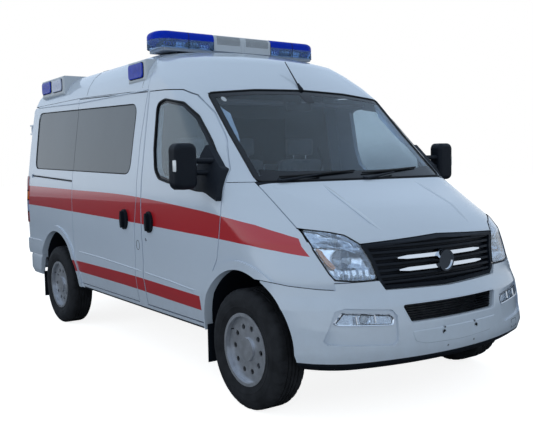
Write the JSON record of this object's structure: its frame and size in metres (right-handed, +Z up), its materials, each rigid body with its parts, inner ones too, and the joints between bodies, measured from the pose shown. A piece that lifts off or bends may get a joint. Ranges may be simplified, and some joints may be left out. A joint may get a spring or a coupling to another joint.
{
  "type": "ambulance",
  "caption": "Short panel-van ambulance with raised roof, roof light bar, tinted side windows, sliding door, twin rear doors and steered front wheels.",
  "frame": {"origin": "on the ground under the middle of the overall length and width", "axes": "+Z up, -Y to the front, +X to the vehicle's left"},
  "size_m": [2.418, 4.9498, 2.4329],
  "materials": {
    "white_paint": "gloss",
    "glass_clear": "clear",
    "glass_dark": "dark tint",
    "black_plastic": "textured",
    "lamp_glass": "clear",
    "red_lamp": "gloss",
    "dark_steel": "satin",
    "cast": "raw",
    "floor_sheet": "matte",
    "trim_grey": "matte",
    "seat_cloth": "woven",
    "cabinet_white": "satin",
    "tyre": "moulded",
    "steel_wheel": "silver paint",
    "exhaust_steel": "dull",
    "lens_blue": "translucent",
    "grey_plastic": "satin",
    "chrome": "chrome"
  },
  "bodies": {
    "body": {"antenna": "black_plastic", "beacon_housings": "white_paint", "body_side_left": "white_paint", "body_side_right": "white_paint", "bulkheads": "trim_grey", "cab_frame": "white_paint", "cabin_furniture": "cabinet_white", "chassis_frame": "dark_steel", "cowl": "black_plastic", "dashboard": "trim_grey", "engine": "cast", "exhaust": "exhaust_steel", "floor": "floor_sheet", "fog_lamps": "lamp_glass", "front_bumper": "white_paint", "front_subframe": "dark_steel", "fuel_tank": "black_plastic", "grille": "black_plastic", "grille_trim": "chrome", "headlamps": "lamp_glass", "leaf_springs": "dark_steel", "light_bar_base": "grey_plastic", "light_bar_lenses": "lens_blue", "light_bar_speaker": "cabinet_white", "nose_panel": "dark_steel", "rear_axle": "dark_steel", "rear_bumper": "white_paint", "roof": "white_paint", "seats": "seat_cloth", "side_beacons": "lens_blue", "side_glass": "glass_dark", "slide_handle": "black_plastic", "sliding_door": "white_paint", "tail_lamps": "red_lamp", "wheel_houses": "black_plastic", "windscreen": "glass_clear", "wings": "white_paint"},
    "front_door_left": {"door_left": "white_paint", "door_glass_left": "glass_clear", "door_trim_left": "black_plastic"},
    "front_door_right": {"door_right": "white_paint", "door_glass_right": "glass_clear", "door_trim_right": "black_plastic"},
    "rear_door_left": {"rear_door_left": "white_paint", "rear_glass_left": "glass_dark"},
    "rear_door_right": {"rear_door_right": "white_paint", "rear_glass_right": "glass_dark"},
    "bonnet": {"bonnet": "white_paint"},
    "knuckle_left": {"knuckle_left": "cast"},
    "knuckle_right": {"knuckle_right": "cast"},
    "steering_wheel": {"steering_wheel": "black_plastic"},
    "wheel_front_left": {"tyre_front_left": "tyre", "wheel_front_left": "steel_wheel"},
    "wheel_front_right": {"tyre_front_right": "tyre", "wheel_front_right": "steel_wheel"},
    "wheel_rear_left": {"tyre_rear_left": "tyre", "wheel_rear_left": "steel_wheel"},
    "wheel_rear_right": {"tyre_rear_right": "tyre", "wheel_rear_right": "steel_wheel"}
  },
  "joints": [
    {"name": "front_door_left_hinge", "type": "hinge", "parent": "body", "child": "front_door_left", "pos_m": [0.996, -1.5135, 1], "axis": [0, 0, -1], "range_deg": [0, 70]},
    {"name": "rear_door_left_hinge", "type": "hinge", "parent": "body", "child": "rear_door_left", "pos_m": [0.8465, 2.347, 1.2], "axis": [0, 0, -1], "range_deg": [0, 180]},
    {"name": "front_door_right_hinge", "type": "hinge", "parent": "body", "child": "front_door_right", "pos_m": [-0.996, -1.5135, 1], "axis": [0, 0, 1], "range_deg": [0, 70]},
    {"name": "rear_door_right_hinge", "type": "hinge", "parent": "body", "child": "rear_door_right", "pos_m": [-0.8465, 2.347, 1.2], "axis": [0, 0, 1], "range_deg": [0, 180]},
    {"name": "bonnet_hinge", "type": "hinge", "parent": "body", "child": "bonnet", "pos_m": [0, -1.603, 1.3], "axis": [-1, 0, 0], "range_deg": [0, 50]},
    {"name": "steering_left", "type": "hinge", "parent": "body", "child": "knuckle_left", "pos_m": [0.775, -1.688, 0.3546], "axis": [0, 0, 1], "range_deg": [-35, 35]},
    {"name": "wheel_front_left_spin", "type": "hinge", "parent": "knuckle_left", "child": "wheel_front_left", "pos_m": [0.867, -1.688, 0.3546], "axis": [1, 0, 0], "continuous": true},
    {"name": "wheel_rear_left_spin", "type": "hinge", "parent": "body", "child": "wheel_rear_left", "pos_m": [0.867, 1.412, 0.3546], "axis": [1, 0, 0], "continuous": true},
    {"name": "steering_right", "type": "hinge", "parent": "body", "child": "knuckle_right", "pos_m": [-0.775, -1.688, 0.3546], "axis": [0, 0, 1], "range_deg": [-35, 35]},
    {"name": "wheel_front_right_spin", "type": "hinge", "parent": "knuckle_right", "child": "wheel_front_right", "pos_m": [-0.867, -1.688, 0.3546], "axis": [1, 0, 0], "continuous": true},
    {"name": "wheel_rear_right_spin", "type": "hinge", "parent": "body", "child": "wheel_rear_right", "pos_m": [-0.867, 1.412, 0.3546], "axis": [1, 0, 0], "continuous": true},
    {"name": "steering_wheel_spin", "type": "hinge", "parent": "body", "child": "steering_wheel", "pos_m": [0.48, -1.048, 1.11], "axis": [0, 0.766, 0.6428], "range_deg": [-525, 525]}
  ],
  "couplings": [
    {"joint": "steering_right", "follows": "steering_left", "ratio": 1},
    {"joint": "steering_wheel_spin", "follows": "steering_left", "ratio": -15}
  ]
}
